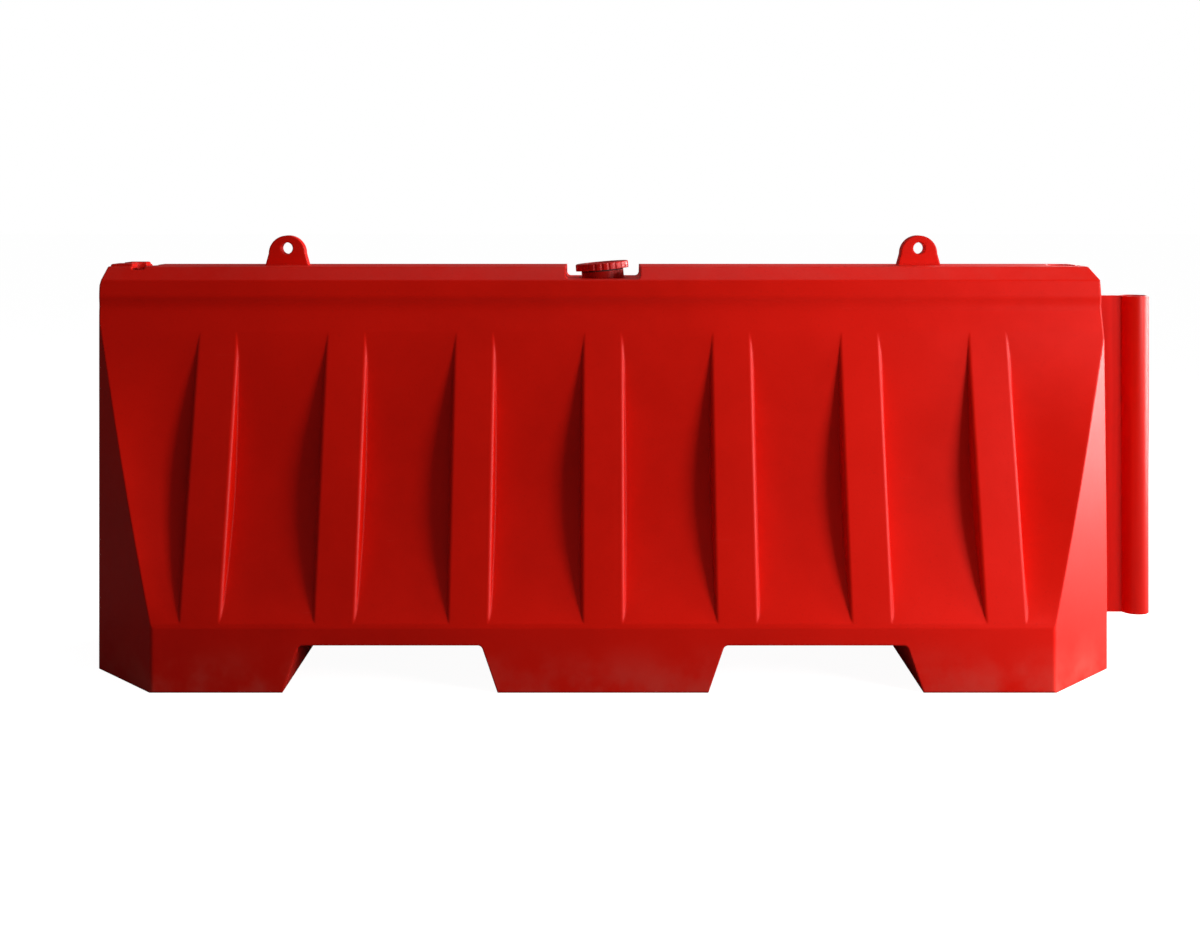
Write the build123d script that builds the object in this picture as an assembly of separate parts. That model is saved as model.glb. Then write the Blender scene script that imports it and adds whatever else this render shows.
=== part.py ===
from build123d import *
from math import atan, cos, radians, sin, sqrt, tan
import os

# Water filled traffic barrier: a hollow rotationally moulded body, with a screwed filler cap,
# a screwed drain plug and a slide-in coupling key.  Millimetres, +Z up, X along the barrier.
# The origin is on the ground, at the middle of the centre foot.

# Body
body_length = 2000
base_width = 500
ridge_height = 795
wall = 5
corner_cut = 149
corner_radius = 12

# Side profile, from the ground up
band_height = 122
slope_top = 700
slope_setback = 150
belt_radius = 8
waist_depth = 5
waist_radius = 40
head_bottom = 736
head_bottom_radius = 20
head_top = 769
head_top_radius = 6
head_lean = 6
ridge_bevel = 26
ridge_radius = 8

# Ribs and the scooped bays between them
rib_count = 7
rib_pitch = 253.5
rib_width = 82
rib_edge_radius = 7
rib_draft = 5
rib_root = 64
bay_depth = 32
bay_bottom = 130
bay_top = 668
bay_low_angle = 13
bay_high_angle = 4

# The end bays: how far from the rib (0) to the corner (1), and the share of the bay depth there
end_bay_shares = ((0, 1), (0.5, 0.66), (1, 0.2), (2, 0.1))

# Fork tunnels under the body
tunnel_middle = 401
tunnel_width = 406
tunnel_height = 90
tunnel_draft = 31
tunnel_corner = 10
foot_edge_radius = 4

# Lifting lugs
lug_spacing = 1292
lug_base_width = 90
lug_thickness = 24
lug_radius = 37
lug_top = 856
lug_hole_radius = 12
lug_hole_height = 830

# Coupling grooves and the key that slides into them
groove_depth = 59
groove_bottom = 86
groove_mouth_width = 56
key_bulb_radius = 28.5
key_bulb_wall = 5
key_web = 14
key_length = 647
key_reach = 89
key_clearance = 1.5
throat_clearance = 3
coupling_end_lean = 12
coupling_end_bevel_width = 16
coupling_end_bevel_height = 26
far_end_bevel_width = 8
far_end_bevel_height = 36
mouth_lip_height = 5
mouth_lip_width = 44
mouth_dip_depth = 6
mouth_dip_width = 28
mouth_edge_radius = 4.5

# Filler: neck, gasket and cap
filler_notch_width = 150
filler_notch_depth = 25
filler_notch_radius = 8
filler_lean = 5
neck_radius = 43
neck_rise = 14
neck_depth = 30
neck_flange_width = 7
neck_flange_thickness = 6
neck_wall = 5.6
cap_thread_pitch = 6
cap_thread_depth = 2
cap_thread_turns = 2
cap_overhang = 11
cap_thickness = 14
cap_gasket_thickness = 3
cap_gasket_width = 5
cap_wall = 5
cap_grip_count = 24
cap_grip_radius = 4
cap_grip_depth = 1.5
cap_rim = 18
cap_recess_depth = 8
cap_bar_width = 12
cap_stem_length = 28
cap_edge_radius = 3

# Drain: recess, bush, gasket and plug
drain_x = 0
drain_height = 46
drain_recess_radius = 38
drain_recess_depth = 26
bush_wall = 6.2
bush_rise = 6
bush_depth = 22
bush_flange_width = 6
bush_flange_thickness = 5
drain_stem_radius = 14
drain_thread_pitch = 3
drain_thread_depth = 1.4
drain_thread_turns = 4
drain_gasket_thickness = 2.5
drain_gasket_width = 5
plug_overhang = 5
plug_thickness = 9
plug_stem_length = 22
plug_square = 14
plug_square_depth = 12
plug_edge_radius = 2

# Clearance all round a thread, and how far a thread ridge is rooted in its stem
thread_clearance = 0.4
thread_root = 0.6

# Worked out from the sizes above
half_length = body_length / 2
half_base = base_width / 2
slope_lean = slope_setback / (slope_top - band_height)
slope_angle = atan(slope_lean)
pocket_radius = key_bulb_radius + key_clearance

# Reaches well beyond the body from anywhere in it
tall = 3 * ridge_height

# The filler is drawn upright with the notch floor at Z = 0, and then leant towards -X.
notch_floor = ridge_height - filler_notch_depth
cap_stem_radius = neck_radius - neck_wall - thread_clearance - cap_thread_depth
cap_radius = neck_radius + cap_overhang
cap_recess_radius = cap_radius - cap_rim
cap_seat = neck_rise + cap_gasket_thickness
cap_thread_start = cap_seat - cap_stem_length + cap_thread_pitch / 2
filler_place = Pos(0, 0, notch_floor) * Rot(0, -filler_lean, 0)

# The drain is drawn upright, with its outward direction along +Z, and then laid along +Y.
bush_bore = drain_stem_radius + drain_thread_depth + thread_clearance
bush_radius = bush_bore + bush_wall
plug_radius = bush_radius + plug_overhang
recess_floor = -drain_recess_depth
bush_top = recess_floor + bush_rise
plug_seat = bush_top + drain_gasket_thickness
drain_thread_start = plug_seat - plug_stem_length + drain_thread_pitch / 2
drain_place = Pos(drain_x, half_base, drain_height) * Rot(-90, 0, 0)


def setback(height):
    """How far the sloping side stands in from the foot band at a height."""
    return slope_lean * (height - band_height)


def both_sides(solid):
    """A solid on the -Y side together with its mirror image on the +Y side."""
    return [solid, mirror(solid, about=Plane.XZ)]


def envelope(skin):
    """The body without bays, tunnels or grooves, drawn in by the skin thickness."""
    waist_in = slope_setback + waist_depth
    head_in = slope_setback + head_lean
    half_outline = [
        (half_base, 0),
        (half_base, band_height),
        (half_base - waist_in, band_height + waist_in / slope_lean),
        (half_base - slope_setback, head_bottom),
        (half_base - head_in, head_top),
        (half_base - head_in - ridge_bevel, ridge_height),
    ]
    half_radii = [
        foot_edge_radius,
        belt_radius,
        waist_radius,
        head_bottom_radius,
        head_top_radius,
        ridge_radius,
    ]
    outline = half_outline + [(-y, z) for y, z in reversed(half_outline)]
    radii = half_radii + list(reversed(half_radii))
    profile = Plane.YZ * make_face(FilletPolyline(*outline, radius=radii, close=True))
    if skin:
        profile = offset(profile, -skin, kind=Kind.INTERSECTION)
    prism = extrude(profile, half_length, both=True)
    plan = Rectangle(body_length, base_width)
    plan = chamfer(plan.vertices(), corner_cut)
    plan = fillet(plan.vertices(), corner_radius)
    if skin:
        plan = offset(plan, -skin, kind=Kind.INTERSECTION)
    return prism & extrude(plan, tall)


def bay_outline(start_x, lean_x, share, skin):
    """A bay's hollow outline on the -Y side, at a share of the full depth, open towards -Y.

    It stands on X = start_x at the bay's bottom, and leans along X by lean_x as it rises."""
    low_y = -half_base + setback(bay_bottom)
    high_y = -half_base + setback(bay_top)
    depth = share * bay_depth
    low_lean = slope_angle + share * radians(bay_low_angle)
    high_lean = slope_angle - share * radians(bay_high_angle)
    middle_y = (low_y + high_y) / 2 + depth * cos(slope_angle)
    middle_z = (bay_bottom + bay_top) / 2 - depth * sin(slope_angle)
    shift_y = skin * cos(slope_angle)
    shift_z = -skin * sin(slope_angle)

    def place(y, z):
        return Vector(start_x + lean_x * (z + shift_z - bay_bottom), y + shift_y, z + shift_z)

    low = place(low_y, bay_bottom)
    high = place(high_y, bay_top)
    low_run = Vector(lean_x * cos(low_lean), sin(low_lean), cos(low_lean))
    high_run = Vector(lean_x * cos(high_lean), sin(high_lean), cos(high_lean))
    curve = Spline(low, place(middle_y, middle_z), high, tangents=[low_run, high_run])
    outward = Vector(0, -base_width, 0)
    return make_face(curve + Polyline(high, high + outward, low + outward, low))


def bay_cuts(skin):
    """The cuts that give the bays their hollow faces, on the -Y side.

    One long cut serves all the bays between ribs; each end bay fades out at its corner."""
    last_rib = rib_pitch * (rib_count - 1) / 2
    rib_side = last_rib + rib_width / 2 - rib_edge_radius - skin
    edge_x = half_length + setback(bay_bottom) - corner_cut + (1 / cos(slope_angle) - sqrt(2)) * skin
    between = extrude(bay_outline(0, 0, 1, skin), last_rib, both=True, dir=(1, 0, 0))
    stations = []
    for along, share in end_bay_shares:
        start_x = rib_side + along * (edge_x - rib_side)
        stations.append(bay_outline(start_x, along * slope_lean, share, skin))
    end = loft(stations)
    return [between, end, mirror(end, about=Plane.YZ)]


def rib(skin):
    """One upright rib at X = 0 on the -Y side; its root is buried in the body."""
    half = rib_width / 2 - skin
    spread = half + rib_root * tan(radians(rib_draft))
    section = Polygon((-half, 0), (half, 0), (spread, rib_root), (-spread, rib_root), align=None)
    section = fillet(section.vertices().sort_by(Axis.Y)[:2], rib_edge_radius)
    climb = bay_top - bay_bottom
    run = sqrt(climb ** 2 + (slope_lean * climb) ** 2)
    foot_y = -half_base + setback(bay_bottom)
    inward = Vector(0, cos(slope_angle), -sin(slope_angle))
    upward = Vector(0, sin(slope_angle), cos(slope_angle))
    start = Vector(0, foot_y, bay_bottom) + inward * skin
    return extrude(Plane(start, x_dir=(1, 0, 0), z_dir=upward) * section, run)


def fork_tunnel(skin):
    """The trapezoidal tunnel through the foot at +X, grown by the skin thickness."""
    low = tunnel_width / 2
    high = low - tunnel_draft
    outline = FilletPolyline(
        (-low - tunnel_draft, -tunnel_height),
        (-high, tunnel_height),
        (high, tunnel_height),
        (low + tunnel_draft, -tunnel_height),
        radius=tunnel_corner,
        close=False,
    )
    profile = make_face(outline + Line(outline @ 1, outline @ 0))
    if skin:
        profile = offset(profile, skin, kind=Kind.INTERSECTION)
    return Pos(tunnel_middle, 0, 0) * extrude(Plane.XZ * profile, base_width, both=True)


def coupling_groove(skin):
    """The keyhole groove in the +X end, open at the top and grown by the skin thickness."""
    centre = half_length - groove_depth
    bulb = Pos(centre, 0) * Circle(pocket_radius + skin)
    throat = (key_web / 2 + throat_clearance) + skin
    mouth = groove_mouth_width / 2 + skin
    past_end = groove_depth / 2
    neck = Polygon(
        (centre, -throat),
        (centre + pocket_radius, -throat),
        (half_length, -mouth),
        (half_length + past_end, -mouth),
        (half_length + past_end, mouth),
        (half_length, mouth),
        (centre + pocket_radius, throat),
        (centre, throat),
        align=None,
    )
    return Pos(0, 0, groove_bottom - skin) * extrude(bulb + neck, tall)


def coupling_end_cut(skin):
    """Material outside the leaning +X end face and its bevelled top corner."""
    top_x = half_length - coupling_end_lean
    bevel_z = ridge_height - coupling_end_bevel_height
    outline = Polyline(
        (half_length - skin, band_height),
        (top_x - skin, bevel_z - skin),
        (top_x - coupling_end_bevel_width - skin, ridge_height - skin),
        (top_x - coupling_end_bevel_width - skin, tall),
        (body_length, tall),
        (body_length, band_height),
        close=True,
    )
    return extrude(Plane.XZ * make_face(outline), base_width, both=True)


def far_end_cut(skin):
    """Material outside the narrow bevel at the top of the -X end."""
    outline = Polyline(
        (-half_length + skin, ridge_height - far_end_bevel_height),
        (-half_length + far_end_bevel_width + skin, ridge_height - skin),
        (-half_length + far_end_bevel_width + skin, tall),
        (-body_length, tall),
        (-body_length, ridge_height - far_end_bevel_height),
        close=True,
    )
    return extrude(Plane.XZ * make_face(outline), base_width, both=True)


def mouth_block(low_x, width, low_z, height):
    """A softened block across the ridge at the open top of the -X groove."""
    block = Box(width, half_base, height, align=(Align.MIN, Align.CENTER, Align.MIN))
    block = fillet(block.edges().filter_by(Axis.Y), mouth_edge_radius)
    return Pos(low_x, 0, low_z) * block


def filler_notch(skin):
    """The notch across the ridge that the filler neck stands in."""
    width = filler_notch_width + 2 * skin
    block = Box(width, base_width, tall, align=(Align.CENTER, Align.CENTER, Align.MIN))
    floor_edges = block.edges().filter_by(Axis.Y).group_by(Axis.Z)[0]
    return Pos(0, 0, notch_floor - skin) * fillet(floor_edges, filler_notch_radius + skin)


def drain_recess(skin):
    """The round recess in the rear foot band that protects the drain plug."""
    depth = drain_recess_depth + skin
    return drain_place * Cylinder(drain_recess_radius + skin, 2 * depth)


def hollow_form(skin):
    """The body's outer form, or with a skin thickness the water space inside it."""
    inside = envelope(skin)
    form = inside
    for cut in bay_cuts(skin):
        form = form - cut - mirror(cut, about=Plane.XZ)
    ribs = [Pos((i - (rib_count - 1) / 2) * rib_pitch, 0, 0) * rib(skin) for i in range(rib_count)]
    ribs = [piece for solid in ribs for piece in both_sides(solid)]
    form = form + [piece & inside for piece in ribs]
    for cut in (fork_tunnel(skin), coupling_groove(skin)):
        form = form - cut - mirror(cut, about=Plane.YZ)
    form = form - coupling_end_cut(skin) - far_end_cut(skin)
    return form - filler_notch(skin) - drain_recess(skin)


def lug(x):
    """A solid upright lug with a round eye."""
    centre = lug_top - lug_radius
    root = ridge_height - wall
    head = Pos(0, centre) * Circle(lug_radius)
    half = lug_base_width / 2
    stem = Polygon(
        (-half, root),
        (half, root),
        (lug_radius, centre),
        (-lug_radius, centre),
        align=None,
    )
    eye = Pos(0, lug_hole_height) * Circle(lug_hole_radius)
    plate = extrude(Plane.XZ * (head + stem - eye), lug_thickness / 2, both=True)
    return Pos(x, 0, 0) * plate


def barrier_shell():
    """The hollow moulded body, with a lip and a dip where the -X groove opens at the top."""
    shell = hollow_form(0) - hollow_form(wall)
    lip_end = -half_length + groove_depth - mouth_edge_radius
    lip_root = ridge_height - wall
    lip = mouth_block(lip_end - mouth_lip_width, mouth_lip_width, lip_root, mouth_lip_height + wall)
    half_lip = half_base - slope_setback - head_lean - ridge_bevel - ridge_radius
    lip = lip & Box(body_length, 2 * half_lip, tall)
    dip = mouth_block(lip_end, mouth_dip_width, ridge_height - mouth_dip_depth, tall)
    shell = shell + (lip - mirror(coupling_groove(0), about=Plane.YZ)) - dip
    shell = shell + [lug(-lug_spacing / 2), lug(lug_spacing / 2)]
    neck_hole = filler_place * Cylinder(neck_radius, 2 * neck_depth)
    bush_hole = drain_place * Pos(0, 0, recess_floor) * Cylinder(bush_radius, 2 * bush_depth)
    return shell - neck_hole - bush_hole


def helical_ridge(root_radius, crest_radius, root_half, crest_half, pitch, turns):
    """A thread ridge winding up from Z = 0, rooted a little way into the wall that carries it."""
    path = Helix(pitch=pitch, height=pitch * turns, radius=root_radius)
    inward = -thread_root if crest_radius > root_radius else thread_root
    section = Polygon(
        (inward, -root_half),
        (crest_radius - root_radius, -crest_half),
        (crest_radius - root_radius, crest_half),
        (inward, root_half),
        align=None,
    )
    plane = Plane(path @ 0, x_dir=(1, 0, 0), z_dir=path % 0)
    return sweep(plane * section, path=path, is_frenet=True)


def outer_thread(stem_radius, depth, pitch, turns):
    """The ridge round a screwed stem."""
    return helical_ridge(stem_radius, stem_radius + depth, pitch / 4, pitch / 8, pitch, turns)


def inner_thread(stem_radius, depth, pitch, turns):
    """The ridge inside the socket of that stem; it runs in the space between the stem's turns."""
    bore = stem_radius + depth + thread_clearance
    root_half = pitch / 2 - pitch / 8 - thread_clearance
    crest_half = pitch / 2 - pitch / 4 - thread_clearance / 2
    return helical_ridge(bore, stem_radius + thread_clearance, root_half, crest_half, pitch, turns)


def tube(outer, inner, low, high):
    """An upright ring between two heights, or a solid disc where the inner radius is 0."""
    ring = Circle(outer)
    if inner:
        ring = ring - Circle(inner)
    return extrude(Pos(0, 0, low) * ring, high - low)


def filler_neck():
    """Moulded-in neck with an internal thread; its flange lies flat under the notch floor."""
    bore = cap_stem_radius + cap_thread_depth + thread_clearance
    flange = tube(neck_radius + neck_flange_width, 0, -wall - neck_flange_thickness, -wall)
    neck = filler_place * tube(neck_radius, 0, -neck_depth, neck_rise) + Pos(0, 0, notch_floor) * flange
    turns = (neck_rise - cap_thread_start) / cap_thread_pitch - 1
    ridge = inner_thread(cap_stem_radius, cap_thread_depth, cap_thread_pitch, turns)
    ridge = Pos(0, 0, cap_thread_start + cap_thread_pitch / 2) * ridge
    return neck - filler_place * Cylinder(bore, tall) + filler_place * ridge


def cap_gasket():
    """Flat ring between the neck and the cap."""
    outer = neck_radius - thread_clearance
    return filler_place * tube(outer, outer - cap_gasket_width, neck_rise, cap_seat)


def filler_cap():
    """Hollow screw cap with a scalloped rim and a grip bar across its sunken top."""
    top = cap_seat + cap_thickness
    disc = extrude(Pos(0, 0, cap_seat) * Circle(cap_radius), cap_thickness)
    disc = fillet(disc.edges().group_by(Axis.Z)[-1], cap_edge_radius)
    grip_circle = PolarLocations(cap_radius + cap_grip_radius - cap_grip_depth, cap_grip_count)
    grips = [place * Pos(0, 0, cap_seat) * Cylinder(cap_grip_radius, tall) for place in grip_circle]
    sunk = Pos(0, 0, top - cap_recess_depth) * extrude(Circle(cap_recess_radius), cap_thickness)
    bar = extrude(Rectangle(2 * cap_recess_radius, cap_bar_width), tall)
    disc = disc - grips - (sunk - bar)
    stem = tube(cap_stem_radius, cap_stem_radius - cap_wall, cap_seat - cap_stem_length, cap_seat)
    thread = outer_thread(cap_stem_radius, cap_thread_depth, cap_thread_pitch, cap_thread_turns)
    return filler_place * (disc + stem + Pos(0, 0, cap_thread_start) * thread)


def drain_bush():
    """Moulded-in bush with an internal thread and a flange behind the recess floor."""
    bush = tube(bush_radius, bush_bore, recess_floor - bush_depth, bush_top)
    flange_top = recess_floor - wall
    flange_bottom = flange_top - bush_flange_thickness
    bush = bush + tube(bush_radius + bush_flange_width, bush_bore, flange_bottom, flange_top)
    turns = (bush_top - drain_thread_start) / drain_thread_pitch - 1
    ridge = inner_thread(drain_stem_radius, drain_thread_depth, drain_thread_pitch, turns)
    return drain_place * (bush + Pos(0, 0, drain_thread_start + drain_thread_pitch / 2) * ridge)


def drain_gasket():
    """Flat ring between the bush and the head of the plug."""
    outer = bush_radius - thread_clearance
    return drain_place * tube(outer, outer - drain_gasket_width, bush_top, plug_seat)


def drain_plug():
    """Solid screw plug with a round head and a square socket for a key."""
    head = extrude(Pos(0, 0, plug_seat) * Circle(plug_radius), plug_thickness)
    head = fillet(head.edges().group_by(Axis.Z)[-1], plug_edge_radius)
    stem = extrude(Pos(0, 0, plug_seat) * Circle(drain_stem_radius), -plug_stem_length)
    top = plug_seat + plug_thickness
    socket = extrude(Pos(0, 0, top) * Rectangle(plug_square, plug_square), -plug_square_depth)
    thread = outer_thread(drain_stem_radius, drain_thread_depth, drain_thread_pitch, drain_thread_turns)
    return drain_place * (head + stem + Pos(0, 0, drain_thread_start) * thread - socket)


def coupling_key():
    """Straight extrusion: two hollow bulbs joined by a web."""
    inner_x = half_length - groove_depth
    outer_x = half_length + key_reach
    half_web = key_web / 2
    web = Polygon(
        (inner_x, -half_web),
        (outer_x, -half_web),
        (outer_x, half_web),
        (inner_x, half_web),
        align=None,
    )
    bulbs = Pos(inner_x, 0) * Circle(key_bulb_radius) + Pos(outer_x, 0) * Circle(key_bulb_radius)
    bores = [Pos(x, 0) * Circle(key_bulb_radius - key_bulb_wall) for x in (inner_x, outer_x)]
    return Pos(0, 0, groove_bottom) * extrude(bulbs + web - bores, key_length)


nodes = {
    "barrier_shell": barrier_shell,
    "filler_neck": filler_neck,
    "cap_gasket": cap_gasket,
    "filler_cap": filler_cap,
    "drain_bush": drain_bush,
    "drain_gasket": drain_gasket,
    "drain_plug": drain_plug,
    "coupling_key": coupling_key,
}
os.makedirs("parts", exist_ok=True)
for name, make in nodes.items():
    export_step(make(), f"parts/{name}.step")
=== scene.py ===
import bpy
import math
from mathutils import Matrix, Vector


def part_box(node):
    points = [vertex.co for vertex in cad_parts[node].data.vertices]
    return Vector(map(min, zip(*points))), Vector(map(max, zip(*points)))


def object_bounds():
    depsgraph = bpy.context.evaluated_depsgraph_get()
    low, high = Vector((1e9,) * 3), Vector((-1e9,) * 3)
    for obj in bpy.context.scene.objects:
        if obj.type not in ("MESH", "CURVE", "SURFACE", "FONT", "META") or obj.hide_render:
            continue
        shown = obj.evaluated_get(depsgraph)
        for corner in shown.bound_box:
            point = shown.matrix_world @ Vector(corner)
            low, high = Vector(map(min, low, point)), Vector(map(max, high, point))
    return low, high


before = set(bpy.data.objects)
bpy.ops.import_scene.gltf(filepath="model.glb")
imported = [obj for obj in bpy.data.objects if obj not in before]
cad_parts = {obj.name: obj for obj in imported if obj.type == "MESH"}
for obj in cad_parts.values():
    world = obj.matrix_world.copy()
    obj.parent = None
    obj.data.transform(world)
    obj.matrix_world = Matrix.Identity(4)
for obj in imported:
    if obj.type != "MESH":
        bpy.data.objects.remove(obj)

bl_info = {
    "name": "Water Filled Barrier",
    "version": (1, 0, 0),
    "blender": (4, 5, 0),
    "location": "3D View > Sidebar > Barrier",
    "description": "Gives a water filled road barrier its moulded plastic finish and its studio",
    "category": "Object",
}

frame_low, frame_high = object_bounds()
shell_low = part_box("barrier_shell")[0]

# The floor: its width in metres, the grey that lights the barrier, and what the camera sees
floor_size = 80.0
floor_grey = 0.22
floor_seen_grey = 0.30
floor_seen_glow = 0.96
floor_roughness = 0.9

# Each lamp in metres: its place, the point that it faces, its width and its height
lamps = {
    "key light": ((2.60, -1.60, 1.05), (0.20, -0.10, 0.40), 1.0, 1.0),
    "side light": ((3.30, 0.20, 0.90), (0.80, 0.0, 0.45), 1.8, 2.0),
    "back light": ((2.60, 1.80, 1.40), (0.80, 0.0, 0.50), 1.6, 1.6),
    "top light": ((0.40, -0.40, 3.60), (0.0, 0.0, 0.3), 3.2, 2.2),
}

sensor_width = 36.0
white = (1.0, 1.0, 1.0, 1.0)

# How much noise a metre holds along X, Y and Z where a surface is turned about Z or Y, or drawn along Z
turned_about_z = (8.0, 8.0, 1.0)
turned_about_y = (8.0, 1.0, 8.0)
drawn_along_z = (14.0, 14.0, 0.35)

# Radii in metres that the edges of the smooth pieces are eased by
cap_ease = 0.0012
insert_ease = 0.001
seal_ease = 0.0006

# Roughness of the smooth pieces
cap_roughness = 0.30
plug_roughness = 0.32
key_roughness = 0.33
insert_roughness = 0.40


class Socket:
    """One output of a node; arithmetic on it adds Math nodes."""

    def __init__(self, nodes, output):
        self.nodes = nodes
        self.output = output

    def reckon(self, operation, *numbers):
        return self.nodes.add("ShaderNodeMath", {"operation": operation}, dict(enumerate(numbers)))

    def __add__(self, other):
        return self.reckon("ADD", self, other)

    def __radd__(self, other):
        return self.reckon("ADD", other, self)

    def __sub__(self, other):
        return self.reckon("SUBTRACT", self, other)

    def __rsub__(self, other):
        return self.reckon("SUBTRACT", other, self)

    def __mul__(self, other):
        return self.reckon("MULTIPLY", self, other)

    def __rmul__(self, other):
        return self.reckon("MULTIPLY", other, self)

    def __abs__(self):
        return self.reckon("ABSOLUTE", self)

    def between(self, start, end):
        """0 below start and 1 above end, with a soft step between them."""
        return self.nodes.add(
            "ShaderNodeMapRange",
            {"interpolation_type": "SMOOTHSTEP"},
            {"Value": self, "From Min": start, "From Max": end},
        )


class Nodes:
    """The shader nodes of one material or of the world."""

    def __init__(self, tree):
        self.tree = tree

    def add(self, kind, settings, sockets, output=0):
        """Adds a node: its settings first, then the values or links of its sockets."""
        node = self.tree.nodes.new(kind)
        for name, value in settings.items():
            setattr(node, name, value)
        for name, value in sockets.items():
            self.join(node.inputs[name], value)
        return Socket(self, node.outputs[output])

    def join(self, entry, value):
        """Links a socket to another's output, or gives it a value."""
        if isinstance(value, Socket):
            self.tree.links.new(value.output, entry)
        else:
            entry.default_value = value


class Finish(Nodes):
    """One material, and the patterns that it is built from."""

    def __init__(self, name):
        self.material = bpy.data.materials.new(name)
        self.material.use_nodes = True
        super().__init__(self.material.node_tree)
        self.plastic = self.tree.nodes["Principled BSDF"]
        self.place = self.add("ShaderNodeTexCoord", {}, {}, "Object")
        self.facing = self.add("ShaderNodeNewGeometry", {}, {}, "Normal")

    def set(self, name, value):
        """Links or sets one socket of the plastic's shader."""
        self.join(self.plastic.inputs[name], value)

    def stretched(self, size, turn=(0.0, 0.0, 0.0)):
        """The piece's own coordinates, scaled along each axis."""
        return self.add("ShaderNodeMapping", {}, {"Vector": self.place, "Scale": size, "Rotation": turn})

    def cloud(self, scale, detail, rough=0.55, where=None):
        """Soft noise from 0 to 1; the scale is in patches a metre."""
        sockets = {"Vector": where or self.place, "Scale": scale, "Detail": detail, "Roughness": rough}
        return self.add("ShaderNodeTexNoise", {"noise_dimensions": "3D"}, sockets, "Fac")

    def part(self, vector, axis):
        """One axis of a direction or a place."""
        return self.add("ShaderNodeSeparateXYZ", {}, {"Vector": vector}, axis)

    def blend(self, amount, first, second):
        """The first colour where the amount is 0, and the second where it is 1."""
        return self.add("ShaderNodeMix", {"data_type": "RGBA"}, {0: amount, 6: first, 7: second}, 2)

    def edges(self, radius):
        """The surface direction with its edges eased by a radius in metres, and a mask of the edges."""
        eased = self.add("ShaderNodeBevel", {"samples": 6}, {"Radius": radius})
        settings = {"operation": "DOT_PRODUCT"}
        likeness = self.add("ShaderNodeVectorMath", settings, {0: eased, 1: self.facing}, "Value")
        return eased, (1.0 - likeness).between(0.02, 0.30)

    def raise_by(self, height, over):
        """Shades a height in metres as relief, on top of a direction."""
        sockets = {"Height": height, "Normal": over, "Distance": 1.0, "Strength": 1.0}
        return self.add("ShaderNodeBump", {}, sockets)

    def cover(self, colour, roughness, normal, shine):
        """Feeds the plastic's shader."""
        self.set("Base Color", colour)
        self.set("Roughness", roughness)
        self.set("Normal", normal)
        self.set("Specular IOR Level", shine)
        return self.material


def tint(colour, gain=1.0):
    """A colour made lighter or darker, with the alpha that a socket needs."""
    return (colour[0] * gain, colour[1] * gain, colour[2] * gain, 1.0)


def grey(level):
    """A neutral colour."""
    return (level, level, level, 1.0)


def moulded_red(name, finish):
    """Rotationally moulded polyethylene: mottled, faintly wavy and eased along its edges."""
    scuff_depth = 0.00005
    speck_share = 0.35
    seam_crest, seam_foot = 0.0006, 0.0016

    coat = Finish(name)
    colour = finish.body_colour
    rubbed = tint(finish.rubbed_colour)
    drift = coat.cloud(1.7, 2.0)
    mottle = coat.cloud(11.0, 4.0, 0.6)
    speck = coat.cloud(240.0, 2.0, 0.5)
    peel = coat.cloud(95.0, 2.0, 0.45)
    wave = coat.cloud(3.4, 1.5, 0.4)
    height = coat.part(coat.place, "Z")
    side = coat.part(coat.place, "Y")
    up = coat.part(coat.facing, "Z")

    eased, edge = coat.edges(finish.edge_ease)
    rub = edge * coat.cloud(26.0, 4.0, 0.65).between(0.42, 0.72) * finish.wear
    strokes = coat.cloud(9.0, 5.0, 0.6, coat.stretched((1.0, 4.0, 22.0), (0.0, 0.12, 0.0)))
    scuff = strokes.between(0.66, 0.74) * mottle.between(0.50, 0.66) * finish.wear
    foot = (1.0 - height.between(0.0, 0.11)) * mottle.between(0.35, 0.70)
    ledge = up.between(0.55, 0.95) * coat.cloud(17.0, 4.0, 0.6).between(0.35, 0.75)
    dust = (foot * 0.55 + ledge * 0.35) * finish.dust

    shade = coat.blend(drift.between(0.30, 0.70), tint(colour, 0.90), tint(colour, 1.06))
    shade = coat.blend(mottle.between(0.30, 0.75) * 0.35, shade, tint(colour, 1.16))
    shade = coat.blend(speck.between(0.58, 0.75) * 0.22, shade, tint(colour, 0.72))
    shade = coat.blend(rub * 0.55, shade, rubbed)
    shade = coat.blend(scuff * 0.40, shade, rubbed)
    shade = coat.blend(dust, shade, tint(finish.dust_colour))

    gloss = finish.roughness + (mottle - 0.5) * 0.10 + (speck - 0.5) * 0.05
    gloss = gloss + rub * 0.10 + scuff * 0.14 + dust * 0.30

    seam = 1.0 - abs(side).between(seam_crest, seam_foot)
    relief = wave * finish.wave_height + peel * finish.grain_height
    relief = relief + speck * (finish.grain_height * speck_share) - scuff * scuff_depth
    relief = relief + seam * finish.seam_height
    return coat.cover(shade, gloss, coat.raise_by(relief, eased), finish.shine)


def smooth_red(name, colour, finish, roughness, grain, ease):
    """Extruded or injection moulded plastic: smoother, with faint lines along its grain."""
    line_height = 0.00006
    speck_height = 0.000015
    mottle_height = 0.00005

    coat = Finish(name)
    lines = coat.cloud(6.0, 4.0, 0.6, coat.stretched(grain))
    mottle = coat.cloud(30.0, 3.0, 0.55)
    speck = coat.cloud(420.0, 2.0, 0.5)
    eased, edge = coat.edges(ease)
    rub = edge * mottle.between(0.40, 0.70) * finish.wear

    shade = coat.blend(lines.between(0.25, 0.75), tint(colour, 0.93), tint(colour, 1.07))
    shade = coat.blend(mottle.between(0.45, 0.80) * 0.25, shade, tint(colour, 0.82))
    shade = coat.blend(rub * 0.45, shade, tint(finish.rubbed_colour))
    gloss = roughness + (lines - 0.5) * 0.10 + (speck - 0.5) * 0.05 + rub * 0.12
    relief = lines * line_height + speck * speck_height + mottle * mottle_height
    return coat.cover(shade, gloss, coat.raise_by(relief, eased), finish.shine)


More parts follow.
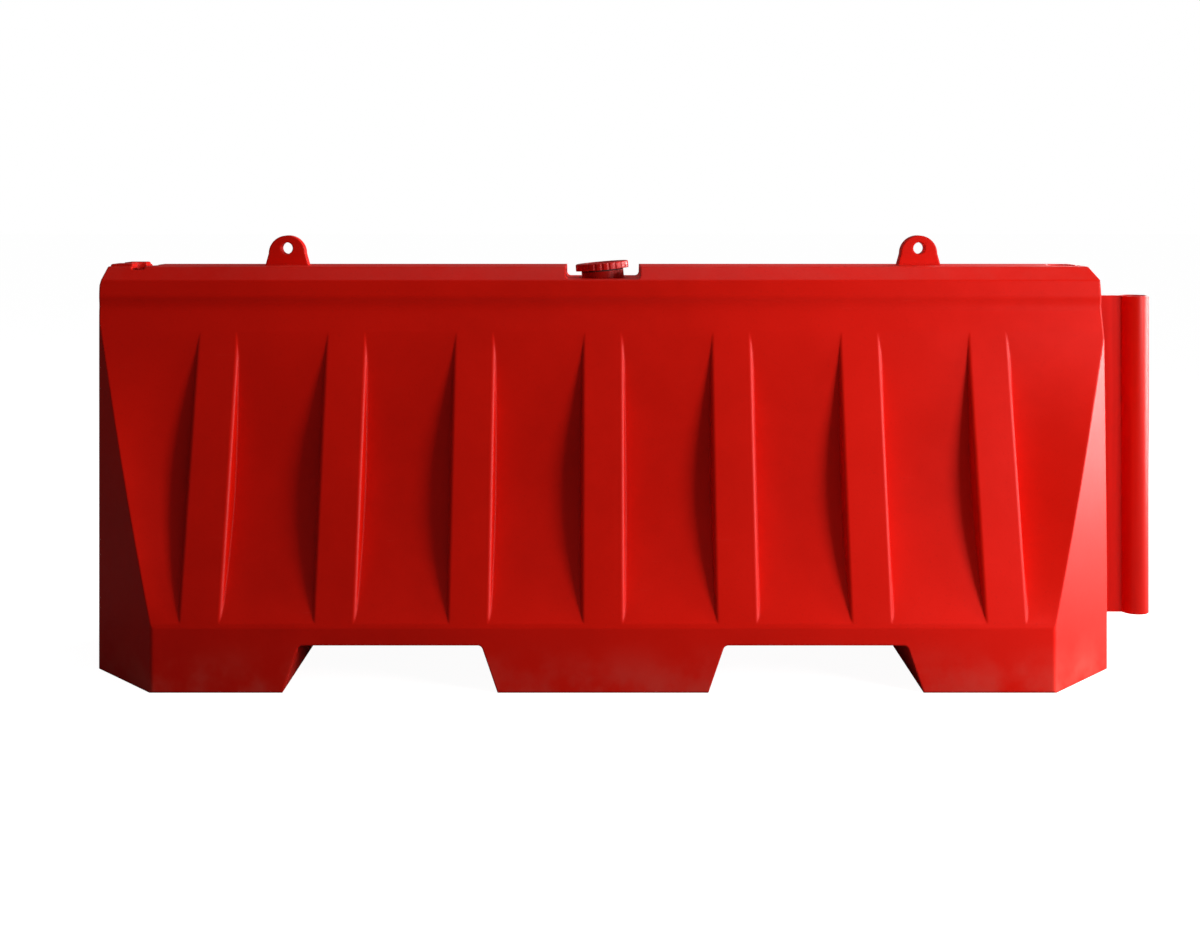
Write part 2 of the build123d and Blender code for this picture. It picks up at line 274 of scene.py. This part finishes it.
def seal_black(name, finish):
    """Matt moulded rubber with a fine bloom."""
    grain_height = 0.00004
    rubber_shine = 0.35

    coat = Finish(name)
    colour = finish.seal_colour
    bloom = coat.cloud(60.0, 4.0, 0.6)
    grain = coat.cloud(700.0, 2.0, 0.5)
    eased = coat.edges(seal_ease)[0]
    shade = coat.blend(bloom.between(0.40, 0.80) * 0.6, tint(colour), tint(colour, 2.6))
    normal = coat.raise_by(grain * grain_height, eased)
    return coat.cover(shade, 0.62 + bloom * 0.20, normal, rubber_shine)


def dress(node, material):
    """Puts one material on every face of a CAD node; a node that is missing raises an error."""
    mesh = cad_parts[node].data
    mesh.materials.clear()
    mesh.materials.append(material)


class BarrierFinish(bpy.types.PropertyGroup):
    body_colour: bpy.props.FloatVectorProperty(
        name="Body colour", description="Colour of the moulded body", subtype="COLOR",
        default=(0.68, 0.0052, 0.0003), min=0.0, max=1.0,
    )
    key_colour: bpy.props.FloatVectorProperty(
        name="Key colour", description="Colour of the coupling key", subtype="COLOR",
        default=(0.42, 0.0040, 0.0006), min=0.0, max=1.0,
    )
    cap_colour: bpy.props.FloatVectorProperty(
        name="Cap colour", description="Colour of the filler cap and drain plug", subtype="COLOR",
        default=(0.50, 0.0080, 0.0060), min=0.0, max=1.0,
    )
    insert_colour: bpy.props.FloatVectorProperty(
        name="Insert colour", description="Colour of the filler neck and drain bush", subtype="COLOR",
        default=(0.40, 0.0070, 0.0040), min=0.0, max=1.0,
    )
    seal_colour: bpy.props.FloatVectorProperty(
        name="Seal colour", description="Colour of the rubber gaskets", subtype="COLOR",
        default=(0.018, 0.017, 0.016), min=0.0, max=1.0,
    )
    rubbed_colour: bpy.props.FloatVectorProperty(
        name="Rubbed colour", description="Paler colour of rubbed and scuffed plastic", subtype="COLOR",
        default=(0.74, 0.060, 0.040), min=0.0, max=1.0,
    )
    dust_colour: bpy.props.FloatVectorProperty(
        name="Dust colour", description="Colour of the light dust at the feet and on ledges", subtype="COLOR",
        default=(0.30, 0.21, 0.16), min=0.0, max=1.0,
    )
    roughness: bpy.props.FloatProperty(
        name="Roughness", description="Roughness of the body's satin surface", subtype="FACTOR",
        default=0.42, min=0.0, max=1.0,
    )
    shine: bpy.props.FloatProperty(
        name="Shine", description="Strength of the plastic's reflections", subtype="FACTOR",
        default=0.14, min=0.0, max=1.0,
    )
    wear: bpy.props.FloatProperty(
        name="Wear", description="How much the edges are rubbed", subtype="FACTOR",
        default=0.7, min=0.0, max=1.0,
    )
    dust: bpy.props.FloatProperty(
        name="Dust", description="How much dust lies on the feet and ledges", subtype="FACTOR",
        default=0.25, min=0.0, max=1.0,
    )
    wave_height: bpy.props.FloatProperty(
        name="Wave height", description="Height of the walls' slow waves", default=0.0016,
        min=0.0, max=0.01, unit="LENGTH", precision=5,
    )
    grain_height: bpy.props.FloatProperty(
        name="Grain height", description="Height of the moulded grain", default=0.00012,
        min=0.0, max=0.002, unit="LENGTH", precision=6,
    )
    seam_height: bpy.props.FloatProperty(
        name="Seam height", description="Height of the trimmed line where the mould halves met",
        default=0.0004, min=0.0, max=0.002, unit="LENGTH", precision=6,
    )
    edge_ease: bpy.props.FloatProperty(
        name="Edge ease", description="Radius that the body's sharp edges are eased by", default=0.005,
        min=0.0, max=0.02, unit="LENGTH", precision=5,
    )


class BarrierStudio(bpy.types.PropertyGroup):
    lens: bpy.props.FloatProperty(
        name="Lens", description="Focal length", subtype="DISTANCE_CAMERA",
        default=44.22, min=10.0, max=300.0,
    )
    camera_distance: bpy.props.FloatProperty(
        name="Camera distance", description="From the camera to the front of the foot", default=2.773,
        min=0.5, max=20.0, unit="LENGTH",
    )
    camera_height: bpy.props.FloatProperty(
        name="Camera height", description="Height of the level camera", default=0.924,
        min=0.0, max=5.0, unit="LENGTH",
    )
    shift_down: bpy.props.FloatProperty(
        name="Shift down", description="How far the lens is shifted down, as a share of the width",
        subtype="FACTOR", default=0.219, min=-1.0, max=1.0,
    )
    shift_left: bpy.props.FloatProperty(
        name="Shift left", description="How far the lens is shifted left, as a share of the width",
        subtype="FACTOR", default=0.0025, min=-1.0, max=1.0,
    )
    key_power: bpy.props.FloatProperty(
        name="Key light", description="Power of the soft light in front and to the right", default=66.0,
        min=0.0, max=2000.0, unit="POWER",
    )
    side_power: bpy.props.FloatProperty(
        name="Side light", description="Power of the broad light at the right", default=190.0,
        min=0.0, max=2000.0, unit="POWER",
    )
    back_power: bpy.props.FloatProperty(
        name="Back light", description="Power of the soft light behind and to the right", default=118.0,
        min=0.0, max=2000.0, unit="POWER",
    )
    top_power: bpy.props.FloatProperty(
        name="Top light", description="Power of the overhead light", default=30.0,
        min=0.0, max=2000.0, unit="POWER",
    )
    room: bpy.props.FloatProperty(
        name="Room light", description="Strength of the even light from all round", subtype="FACTOR",
        default=0.11, min=0.0, max=1.0,
    )


class BARRIER_OT_body(bpy.types.Operator):
    """Gives the moulded body its satin, mottled red finish"""
    bl_idname = "barrier.body"
    bl_label = "Finish the Body"

    def execute(self, context):
        finish = context.scene.barrier_finish
        dress("barrier_shell", moulded_red("moulded red", finish))
        return {"FINISHED"}


class BARRIER_OT_filler(bpy.types.Operator):
    """Gives the filler neck, gasket and cap their finishes"""
    bl_idname = "barrier.filler"
    bl_label = "Finish the Filler"

    def execute(self, context):
        finish = context.scene.barrier_finish
        cap, neck = finish.cap_colour, finish.insert_colour
        cap_red = smooth_red("cap red", cap, finish, cap_roughness, turned_about_z, cap_ease)
        neck_red = smooth_red("insert red", neck, finish, insert_roughness, turned_about_z, insert_ease)
        dress("filler_cap", cap_red)
        dress("filler_neck", neck_red)
        dress("cap_gasket", seal_black("seal rubber", finish))
        return {"FINISHED"}


class BARRIER_OT_drain(bpy.types.Operator):
    """Gives the drain bush, gasket and plug their finishes"""
    bl_idname = "barrier.drain"
    bl_label = "Finish the Drain"

    def execute(self, context):
        finish = context.scene.barrier_finish
        plug, bush = finish.cap_colour, finish.insert_colour
        plug_red = smooth_red("plug red", plug, finish, plug_roughness, turned_about_y, cap_ease)
        bush_red = smooth_red("bush red", bush, finish, insert_roughness, turned_about_y, insert_ease)
        dress("drain_plug", plug_red)
        dress("drain_bush", bush_red)
        dress("drain_gasket", seal_black("drain seal rubber", finish))
        return {"FINISHED"}


class BARRIER_OT_key(bpy.types.Operator):
    """Gives the coupling key its smooth extruded finish"""
    bl_idname = "barrier.key"
    bl_label = "Finish the Coupling Key"

    def execute(self, context):
        finish = context.scene.barrier_finish
        key = finish.key_colour
        key_red = smooth_red("key red", key, finish, key_roughness, drawn_along_z, cap_ease)
        dress("coupling_key", key_red)
        return {"FINISHED"}


class BARRIER_OT_stage(bpy.types.Operator):
    """Sets the floor, the soft lights and the camera"""
    bl_idname = "barrier.stage"
    bl_label = "Set the Stage"

    def execute(self, context):
        scene = context.scene
        studio = scene.barrier_studio
        self.lay_floor()
        self.light_room(scene, studio)
        self.hang(scene, "key light", studio.key_power)
        self.hang(scene, "side light", studio.side_power)
        self.hang(scene, "back light", studio.back_power)
        self.hang(scene, "top light", studio.top_power)
        self.stand_camera(scene, studio)
        scene.view_settings.view_transform = "Standard"
        return {"FINISHED"}

    def lay_floor(self):
        """A pale floor that looks nearly white to the camera, but throws less light on the barrier."""
        bpy.ops.object.select_all(action="DESELECT")
        bpy.ops.mesh.primitive_plane_add(size=floor_size, location=(0.0, 0.0, frame_low.z))
        floor = bpy.context.object
        floor.name = "studio_floor"
        bpy.ops.object.transform_apply(location=True)
        paint = Finish("pale floor")
        seen = paint.add("ShaderNodeLightPath", {}, {}, "Is Camera Ray")
        colour = paint.blend(seen, grey(floor_grey), grey(floor_seen_grey))
        paint.set("Base Color", colour)
        paint.set("Roughness", floor_roughness)
        paint.set("Specular IOR Level", 0.0)
        paint.set("Emission Color", white)
        paint.set("Emission Strength", seen * floor_seen_glow)
        floor.data.materials.append(paint.material)

    def light_room(self, scene, studio):
        """An even white room that looks brighter to the camera than the light it gives."""
        world = bpy.data.worlds.new("studio")
        world.use_nodes = True
        scene.world = world
        nodes = Nodes(world.node_tree)
        seen = nodes.add("ShaderNodeLightPath", {}, {}, "Is Camera Ray")
        sky = world.node_tree.nodes["Background"]
        nodes.join(sky.inputs["Color"], white)
        nodes.join(sky.inputs["Strength"], seen * (1.0 - studio.room) + studio.room)

    def hang(self, scene, name, power):
        """Hangs one of the soft lamps out of the camera's sight."""
        place, aim, width, height = lamps[name]
        light = bpy.data.lights.new(name, "AREA")
        light.shape = "RECTANGLE"
        light.size = width
        light.size_y = height
        light.energy = power
        lamp = bpy.data.objects.new(name, light)
        scene.collection.objects.link(lamp)
        lamp.location = place
        lamp.visible_camera = False
        lamp.rotation_euler = (Vector(aim) - Vector(place)).to_track_quat("-Z", "Y").to_euler()

    def stand_camera(self, scene, studio):
        """Stands the level camera in front of the middle of the barrier."""
        view = bpy.data.cameras.new("camera")
        view.sensor_width = sensor_width
        view.lens = studio.lens
        view.shift_x = -studio.shift_left
        view.shift_y = -studio.shift_down
        camera = bpy.data.objects.new("camera", view)
        scene.collection.objects.link(camera)
        camera.location = (0.0, shell_low.y - studio.camera_distance, studio.camera_height)
        camera.rotation_euler = (math.radians(90.0), 0.0, 0.0)
        scene.camera = camera


class BARRIER_PT_sidebar(bpy.types.Panel):
    """Shows the finish's and the studio's settings, and the steps that use them"""
    bl_idname = "BARRIER_PT_sidebar"
    bl_label = "Water Filled Barrier"
    bl_space_type = "VIEW_3D"
    bl_region_type = "UI"
    bl_category = "Barrier"

    def draw(self, context):
        layout = self.layout
        for settings in (context.scene.barrier_finish, context.scene.barrier_studio):
            for name in settings.__annotations__:
                layout.prop(settings, name)
        for operator in operators:
            layout.operator(operator.bl_idname)


operators = (BARRIER_OT_body, BARRIER_OT_filler, BARRIER_OT_drain, BARRIER_OT_key, BARRIER_OT_stage)
classes = (BarrierFinish, BarrierStudio) + operators + (BARRIER_PT_sidebar,)


def register():
    for item in classes:
        bpy.utils.register_class(item)
    bpy.types.Scene.barrier_finish = bpy.props.PointerProperty(type=BarrierFinish)
    bpy.types.Scene.barrier_studio = bpy.props.PointerProperty(type=BarrierStudio)


def unregister():
    del bpy.types.Scene.barrier_studio
    del bpy.types.Scene.barrier_finish
    for item in reversed(classes):
        bpy.utils.unregister_class(item)


def main():
    register()
    bpy.ops.barrier.body()
    bpy.ops.barrier.filler()
    bpy.ops.barrier.drain()
    bpy.ops.barrier.key()
    bpy.ops.barrier.stage()


if __name__ == "__main__":
    main()
